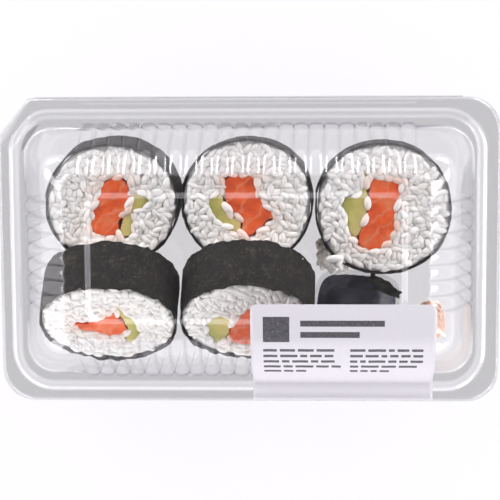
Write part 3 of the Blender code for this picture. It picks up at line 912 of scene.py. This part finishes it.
def build_filling(roll, kind, seed, finish):
    """A filling that runs through a roll: soft edges, uneven sides and torn, hollowed cuts."""
    bm = merged_copy(f"{kind}_{roll.name}")
    bm.transform(roll.inverse)
    bmesh.ops.dissolve_limit(
        bm, angle_limit=math.radians(2.0), verts=bm.verts, edges=bm.edges, use_dissolve_boundaries=False
    )
    rims = [edge for edge in bm.edges if edge.calc_face_angle(0.0) > math.radians(60.0)]
    bmesh.ops.bevel(
        bm, geom=rims, offset=0.55 * MM, offset_type="OFFSET", segments=3, profile=0.5,
        affect="EDGES", material=-1, clamp_overlap=True,
    )
    refine(bm, 1.2 * MM)
    for vert in bm.verts:
        here = vert.co.copy()
        slide = drift(here, 3.0, seed, 5) * MM
        slide += drift(here, 1.1, seed + 1, 5) * 0.4 * MM
        share = abs(here.z) / roll.half
        if share > 0.9:
            lump = 0.45 * wander(here, 3.2, seed + 8) + 0.22 * wander(here, 1.2, seed + 2)
            slide.z = math.copysign(lump * MM, here.z)
        vert.co = here + slide
    soften(bm, 0.3)
    if kind == "avocado":
        salmon = Roll.middle([roll.inverse @ v.co for v in
                              frame["nodes"][f"salmon_{roll.name}"].data.vertices])[0]
        middle = Roll.middle([vert.co for vert in bm.verts])[0]
        away = ((middle - salmon) * Vector((1, 1, 0))).normalized()
        reach = [vert.co.dot(away) for vert in bm.verts]
        low, high = min(reach), max(reach)
        layer = bm.verts.layers.float.new("rind")
        for vert, value in zip(bm.verts, reach):
            vert[layer] = (value - low) / (high - low)
    bm.transform(roll.matrix)
    align_faces(bm)
    add_piece(f"{kind}_slice_{roll.name}", bm, "base", kind, [finish], [f"{kind}_{roll.name}"])


class SUSHITRAY_OT_rolls(bpy.types.Operator):
    """Build the five rolls with their seaweed, rice, salmon and avocado"""

    bl_idname = "sushi_tray.rolls"
    bl_label = "Build Rolls"

    def execute(self, context):
        settings = context.scene.sushi_tray.food
        nori = roasted_nori_sheet(settings)
        rice = steamed_short_grain_rice(settings)
        salmon = raw_salmon_sliced(settings)
        avocado = ripe_avocado_sliced(settings)
        for seed, (name, lean) in enumerate(LEANS.items(), start=1):
            roll = Roll(name, lean)
            build_nori(roll, seed, nori)
            build_rice(roll, seed, settings, rice)
            build_filling(roll, "salmon", seed, salmon)
            build_filling(roll, "avocado", seed + 20, avocado)
        return {"FINISHED"}


# What lies beside the rolls


def build_scrap(seed, finish):
    """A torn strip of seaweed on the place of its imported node."""
    bm = merged_copy("nori_flap")
    refine(bm, 0.8 * MM)
    for vert in bm.verts:
        here = vert.co.copy()
        tear = drift(here, 2.0, seed, 4) * 1.3 + drift(here, 0.7, seed + 1, 4) * 0.5
        tear.z = 0.9 * wander(here, 2.8, seed + 7)
        vert.co += tear * MM
    align_faces(bm)
    add_piece("nori_scrap", bm, "base", "nori", [finish], ["nori_flap"], smooth_angle=50.0)


def build_loose_rice(settings, finish):
    """Grains that broke off the back right roll and lean against it, down to the floor."""
    rng = random.Random(31)
    bm = bmesh.new()
    bm.verts.layers.float.new("stain")
    (middle_x, middle_y), (reach_x, reach_y) = LOOSE_MIDDLE, LOOSE_REACH
    for _ in range(LOOSE_GRAINS):
        u, v = rng.uniform(-1, 1), rng.uniform(-1, 1)
        top = LOOSE_HEIGHT * max(0.12, 1 - 0.8 * (u * u + v * v))
        place = Vector((middle_x + reach_x * u, middle_y + reach_y * v, top * rng.uniform(0.3, 1.0)))
        if u * u + v * v < 1.1 and (place.y > -7.0 or place.z > 13.0):
            angle, tilt = rng.uniform(0, 3.1), rng.uniform(-0.3, 0.3)
            add_grain(bm, settings, rng, place * MM, angle, tilt, rng.uniform(0.0, 0.1))
    add_piece("loose_rice", bm, "base", "rice", [finish])


def brewed_soy_sauce():
    """Brewed soy sauce: near black, with a smooth wet surface under its film."""
    made, tree, position = new_material("brewed_soy_sauce")
    # The sauce is paler where the film lies close to it, in patches about 8 mm across
    depth = add_noise(tree, position, 120.0, 2.0)
    colour = add_ramp(tree, depth, (0.35, linear("#2D2D37")), (0.7, linear("#565766")))
    return finish_solid(made, colour, 0.25, ior=1.38)


def clear_laminate_film(settings):
    """Clear laminated film, heat sealed: glossy and finely creased."""
    made, tree, position = new_material("clear_laminate_film")
    creases = add_bump(tree, add_noise(tree, position, 300.0, 3.0, distortion=1.5), 0.5, 0.0004)
    return finish_material(made, clear_sheet(tree, settings.tint, 0.16, creases))


def build_sachet(pack, film):
    """The soy sauce sachet: a sealed pillow of film with the sauce inside it."""
    bm = merged_copy("soy_sachet")
    refine(bm, 1.3 * MM)
    low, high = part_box("soy_sachet")
    middle = (low + high) / 2
    for vert in bm.verts:
        here = vert.co.copy()
        u, v, w = ((here[i] - middle[i]) / ((high[i] - low[i]) / 2) for i in range(3))
        vert.co.x = middle.x + (here.x - middle.x) * (1.0 - 0.10 * v ** 4 - 0.10 * u * u * v * v)
        vert.co.y = middle.y + (here.y - middle.y) * (1.0 - 0.22 * u ** 4 - 0.10 * u * u * v * v)
        puckers = 0.9 * wander(here, 5.0, 3.0) * abs(w) + 0.5 * wander(here, 2.0, 5.0) * max(abs(u), abs(v))
        vert.co.z += puckers * MM
    align_faces(bm)
    sauce = bm.copy()
    add_piece("sachet_film", bm, "base", "soy_sachet", [film], ["soy_sachet"])
    shrink = Matrix.Translation(middle) @ Matrix.Diagonal((0.91, 0.88, 0.86, 1.0))
    sauce.transform(shrink @ Matrix.Translation(-middle))
    soften(sauce, 0.5)
    add_piece("soy_sauce", sauce, "base", "soy_sachet", [brewed_soy_sauce()])


def pickled_ginger_shaved(settings):
    """Young ginger, shaved and pickled: moist, translucent peach slices with fine fibres."""
    made, tree, position = new_material("pickled_ginger_shaved")
    fibres = add_noise(tree, position, 700.0, 3.0, distortion=0.8)
    colour = add_ramp(tree, fibres, (0.35, linear("#DFAE92")), (0.65, settings.ginger))
    bump = add_bump(tree, fibres, 0.3, 0.0002)
    return finish_solid(made, colour, 0.35, bump, (0.3, (1.0, 0.6, 0.4), 0.001), ior=1.4)


def build_ginger(settings):
    """Folded slices of pickled ginger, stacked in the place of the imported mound."""
    low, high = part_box("pickled_ginger")
    middle, size = (low + high) / 2, high - low
    rng = random.Random(17)
    bm = bmesh.new()
    for layer in range(7):
        share = layer / 6
        flat_slice = bmesh.ops.create_grid(bm, x_segments=18, y_segments=18, size=1.0)["verts"]
        phase, spin = rng.uniform(0, 6), rng.uniform(0, 3)
        narrow = 1.0 - 0.35 * share
        for vert in flat_slice:
            u, v = vert.co.x, vert.co.y
            x, y = u * math.sqrt(1 - v * v / 2), v * math.sqrt(1 - u * u / 2)  # square to disc
            wave = 0.5 * math.sin(3.2 * (x * math.cos(spin) + y * math.sin(spin)) + phase)
            wave += 0.25 * math.sin(6.0 * y + phase)
            edge = 1.0 + 0.07 * math.sin(5 * math.atan2(y, x) + phase)
            z = low.z + size.z * (0.14 + 0.66 * share) + wave * 1.1 * MM * (x * x + y * y)
            vert.co = Vector((
                middle.x + x * edge * narrow * size.x * 0.42,
                middle.y + y * edge * narrow * size.y * 0.43, z,
            ))
    align_faces(bm)
    made = add_piece(
        "ginger_slices", bm, "base", "pickled_ginger", [pickled_ginger_shaved(settings)],
        ["pickled_ginger"],
    )
    give_wall(made, 0.8 * MM, offset=0.0)


class SUSHITRAY_OT_extras(bpy.types.Operator):
    """Build the soy sauce sachet, the ginger, the torn seaweed and the loose rice"""

    bl_idname = "sushi_tray.extras"
    bl_label = "Build Extras"

    def execute(self, context):
        settings = context.scene.sushi_tray
        build_scrap(2.0, bpy.data.materials["roasted_nori_sheet"])
        build_loose_rice(settings.food, bpy.data.materials["steamed_short_grain_rice"])
        build_sachet(settings.pack, clear_laminate_film(settings.pack))
        build_ginger(settings.food)
        return {"FINISHED"}


# Label


def coated_label_paper(settings):
    """Self-adhesive coated paper: smooth, near white, with a faint fibre under its satin coat."""
    made, tree, position = new_material("coated_label_paper")
    # Paper fibres are too fine to show, so they are drawn about 0.8 mm across
    fibres = add_noise(tree, position, 1200.0, 3.0)
    shaded = tuple(0.97 * c for c in settings.paper[:3]) + (1.0,)
    colour = add_ramp(tree, fibres, (0.3, shaded), (0.6, settings.paper))
    return finish_solid(made, colour, 0.5, add_bump(tree, fibres, 0.1, 0.0001))


def thermal_print_ink(settings):
    """Thermal print: a dark grey that lies in the paper's coat, a little patchy."""
    made, tree, position = new_material("thermal_print_ink")
    patches = add_noise(tree, position, 1800.0, 1.0)
    colour = add_ramp(tree, patches, (0.4, settings.ink), (0.75, linear("#5A595E")))
    return finish_solid(made, colour, 0.55)


def label_path(lid):
    """The label's underside, from its back edge on the panel to the lid's front edge."""
    rim, shoulder, _, top, _, panel, _ = lid[-7:]
    edge_y = lid[0].half_y
    bead_y = edge_y - BEAD_INSET
    bends = [
        (-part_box("label")[1].y / MM, panel.z, 0.0),
        (panel.half_y + 0.2, panel.z, 1.5),
        (top.half_y + 0.4, top.z + 0.2, 2.5),
        (shoulder.half_y + 0.4, shoulder.z + 0.7, 5.0),
        (rim.half_y + 0.5, rim.z + 1.6, 2.0),
        (bead_y, rim.z + 1.2, 1.5),
        (bead_y + 2.6, rim.z + 0.2, 1.2),
        (edge_y - 0.3, rim.z, 0.0),
    ]
    stations = [Station(0.0, y, 0.0, z + LABEL_GAP, 0.0, bend, 0.0) for y, z, bend in bends]
    return evened(rounded_path(stations), 1.5)


def print_bars(left, right, back):
    """Rectangles of plain bars: two thick rows, then rows of short bars in two columns."""
    rng = random.Random(5)
    bars = [(left + 4.0, left + 12.5, back - 12.5, back - 4.0)]
    for row, (width, height) in enumerate(((27.0, 2.0), (19.0, 2.0))):
        y = back - 5.2 - 3.8 * row
        bars.append((left + 16.0, left + 16.0 + width, y - height, y))
    for row in range(5):
        y = back - 15.0 - 2.1 * row
        for start, end in ((left + 4.0, left + 29.0), (left + 32.0, right - 4.0)):
            x = start
            while x < end - 2.0 and not (row == 4 and x > start + 11.0):
                width = min(rng.uniform(1.8, 6.0), end - x)
                bars.append((x, x + width, y - 0.95, y))
                x += width + 0.9
    return bars


def build_label(settings, lid):
    """The label: a strip of paper over the lid, with printed bars and rounded corners at its back."""
    low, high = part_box("label")
    left, right = low.x / MM, high.x / MM
    corner = 2.2
    path = label_path(lid)
    back_y, back_z = -path[0].half_y, path[0].z
    rows = []
    for step in range(6):
        turn = math.radians(90.0 * step / 5)
        rows.append((corner * (1 - math.sin(turn)), back_y - corner * (1 - math.cos(turn)), back_z))
    rows += [(0.0, -here.half_y, here.z) for here in path if -here.half_y < back_y - corner - 0.1]
    bm = bmesh.new()
    chain = None
    for inset, y, z in rows:
        places = [Vector((x, y, z)) * MM for x in (left + inset, right - inset)]
        chain = next_ring(bm, chain, places) if chain else start_chain(bm, places)
    bars = print_bars(left, right, back_y)
    ripple_cuts = [left + (right - left) * step / 48 for step in range(1, 48)]
    cuts = [((x, 0, 0), (1, 0, 0))
            for x in sorted({x for bar in bars for x in bar[:2]} | set(ripple_cuts))]
    cuts += [((0, y, 0), (0, 1, 0)) for y in sorted({y for bar in bars for y in bar[2:]})]
    for place, across in cuts:
        bmesh.ops.bisect_plane(
            bm, geom=bm.verts[:] + bm.edges[:] + bm.faces[:], plane_co=Vector(place) * MM,
            plane_no=across,
        )
    face_up(bm)
    for face in bm.faces:
        x, y, _ = face.calc_center_median() / MM
        if any(x0 < x < x1 and y0 < y < y1 for x0, x1, y0, y1 in bars):
            face.material_index = 1
    for vert in bm.verts:
        x, y, _ = vert.co / MM
        over_flutes = max(0.0, min(1.0, (-27.5 - y) / 2.0)) * max(0.0, min(1.0, (y + 43.0) / 2.0))
        vert.co.z -= 0.10 * MM * over_flutes * (1 - math.cos(2 * math.pi * x / FLUTE_PITCH))
        vert.co.z += 0.05 * MM * wander(vert.co, 9.0, 4.0)
    made = add_piece(
        "paper_label", bm, "lid", "label_paper",
        [coated_label_paper(settings), thermal_print_ink(settings)], ["label"], smooth_angle=40.0,
    )
    give_wall(made, settings.thickness, offset=1.0)


class SUSHITRAY_OT_label(bpy.types.Operator):
    """Build the paper label that lies over the lid"""

    bl_idname = "sushi_tray.label"
    bl_label = "Build Label"

    def execute(self, context):
        settings = context.scene.sushi_tray
        lid = lid_stations(settings.pack.flute_depth / MM, settings.pack.bead_rise / MM)
        build_label(settings.label, lid)
        return {"FINISHED"}


# Stage


def opal_acrylic_lit(settings):
    """Cast opal acrylic, matt on top and lit from below: even, near white and almost shadowless."""
    made, tree, position = new_material("opal_acrylic_lit")
    matting = add_bump(tree, add_noise(tree, position, 400.0, 2.0), 0.03, 0.0002)
    return finish_solid(made, settings.floor, 0.9, matting, specular=0.1,
                        glow_colour=linear("#FDFBFF"), glow=settings.glow)


def light_tent(strength):
    """White cloth all round, with a darker opening overhead."""
    made = bpy.data.worlds.new("light_tent")
    made.use_nodes = True
    tree = made.node_tree
    tree.nodes.clear()
    direction = add_node(tree, "ShaderNodeTexCoord").outputs["Generated"]
    height = add_node(tree, "ShaderNodeSeparateXYZ", {0: direction}).outputs["Z"]
    cloth = add_ramp(tree, height, (0.3, linear("#FDFBFF")), (0.85, linear("#373638")),
                     (0.55, linear("#B4B3B7")))
    glow = add_node(tree, "ShaderNodeBackground", {"Color": cloth, "Strength": strength})
    add_node(tree, "ShaderNodeOutputWorld", {"Surface": glow.outputs[0]})
    return made


def add_softbox(name, place, target, size, power):
    """A rectangular area light that faces a point."""
    light = bpy.data.lights.new(name, "AREA")
    light.shape = "RECTANGLE"
    light.size, light.size_y = size
    light.energy = power
    made = link_object(name, light)
    made.location = place
    made.rotation_euler = (Vector(target) - Vector(place)).to_track_quat("-Z", "Y").to_euler()


def add_camera():
    """The camera above the pack, a little to the back and right of its middle."""
    distance = 0.575
    target = Vector((0.0, 0.0, 0.0265))
    offset = Vector((0.027, math.tan(math.radians(7.3)) * distance, distance))
    data = bpy.data.cameras.new("camera")
    made = link_object("camera", data)
    backwards = offset.normalized()
    up = backwards.cross(Vector((1, 0, 0))).normalized()
    turn = Matrix((up.cross(backwards), up, backwards)).transposed().to_4x4()
    turn.translation = target + offset
    made.matrix_world = turn
    pixel = 0.3305 * MM  # size of one of the picture's 500 pixels at the target
    data.sensor_width = 36.0
    data.lens = data.sensor_width * offset.length / (pixel * 500)
    data.shift_x, data.shift_y = 0.003, 0.0014
    bpy.context.scene.camera = made


class SUSHITRAY_OT_stage(bpy.types.Operator):
    """Build the floor, the studio light and the camera"""

    bl_idname = "sushi_tray.stage"
    bl_label = "Build Stage"

    def execute(self, context):
        settings = context.scene.sushi_tray.stage
        bm = bmesh.new()
        bmesh.ops.create_grid(bm, x_segments=4, y_segments=4, size=1.5)
        mesh = bpy.data.meshes.new("floor")
        bm.to_mesh(mesh)
        bm.free()
        mesh.materials.append(opal_acrylic_lit(settings))
        floor = link_object("floor", mesh)
        context.scene.world = light_tent(settings.ambient)
        target = (0.0, 0.0, 0.02)
        power = settings.softbox
        add_softbox("softbox_left", (-0.68, 0.0, 0.33), target, (0.7, 0.1), 0.4 * power)
        add_softbox("softbox_right", (0.68, 0.0, 0.38), target, (0.7, 0.1), 0.5 * power)
        for side, x in (("left", -0.45), ("right", 0.45)):
            add_softbox(f"strip_back_{side}", (x, 0.58, 0.25), target, (0.4, 0.1), 0.7 * power)
            add_softbox(f"strip_front_{side}", (x, -0.58, 0.25), target, (0.4, 0.1), 0.3 * power)
        add_camera()
        # Light crosses the sheets of a shut pack many times
        context.scene.cycles.transparent_max_bounces = 48
        context.scene.view_settings.view_transform = "Standard"
        return {"FINISHED"}


class SUSHITRAY_PT_panel(bpy.types.Panel):
    """Settings and buttons of the sushi tray"""

    bl_idname = "SUSHITRAY_PT_panel"
    bl_label = "Sushi Tray"
    bl_space_type = "VIEW_3D"
    bl_region_type = "UI"
    bl_category = "Sushi Tray"

    def draw(self, context):
        settings = context.scene.sushi_tray
        for group, names in (
            (settings.pack, ("sheet", "tint", "drawn_tint", "bend_tint", "bead_rise", "flute_depth")),
            (settings.food, ("grain_length", "grain_width", "grain_step", "rice", "stain", "salmon",
                             "fat", "avocado_rind", "avocado_heart", "nori", "ginger")),
            (settings.label, ("paper", "ink", "thickness")),
            (settings.stage, ("floor", "glow", "ambient", "softbox")),
        ):
            column = self.layout.column(align=True)
            for name in names:
                column.prop(group, name)
        for operator in OPERATORS:
            self.layout.operator(operator.bl_idname)


OPERATORS = (
    SUSHITRAY_OT_pack,
    SUSHITRAY_OT_rolls,
    SUSHITRAY_OT_extras,
    SUSHITRAY_OT_label,
    SUSHITRAY_OT_stage,
)
CLASSES = (PackSettings, FoodSettings, LabelSettings, StageSettings, TraySettings, *OPERATORS,
           SUSHITRAY_PT_panel)


def register():
    """Add the settings, operators and panel to Blender."""
    for cls in CLASSES:
        bpy.utils.register_class(cls)
    bpy.types.Scene.sushi_tray = bpy.props.PointerProperty(type=TraySettings)


def unregister():
    """Take them out again."""
    del bpy.types.Scene.sushi_tray
    for cls in reversed(CLASSES):
        bpy.utils.unregister_class(cls)


def main():
    """Build every piece and the stage."""
    register()
    bpy.ops.sushi_tray.pack()
    bpy.ops.sushi_tray.rolls()
    bpy.ops.sushi_tray.extras()
    bpy.ops.sushi_tray.label()
    bpy.ops.sushi_tray.stage()


if __name__ == "__main__":
    main()
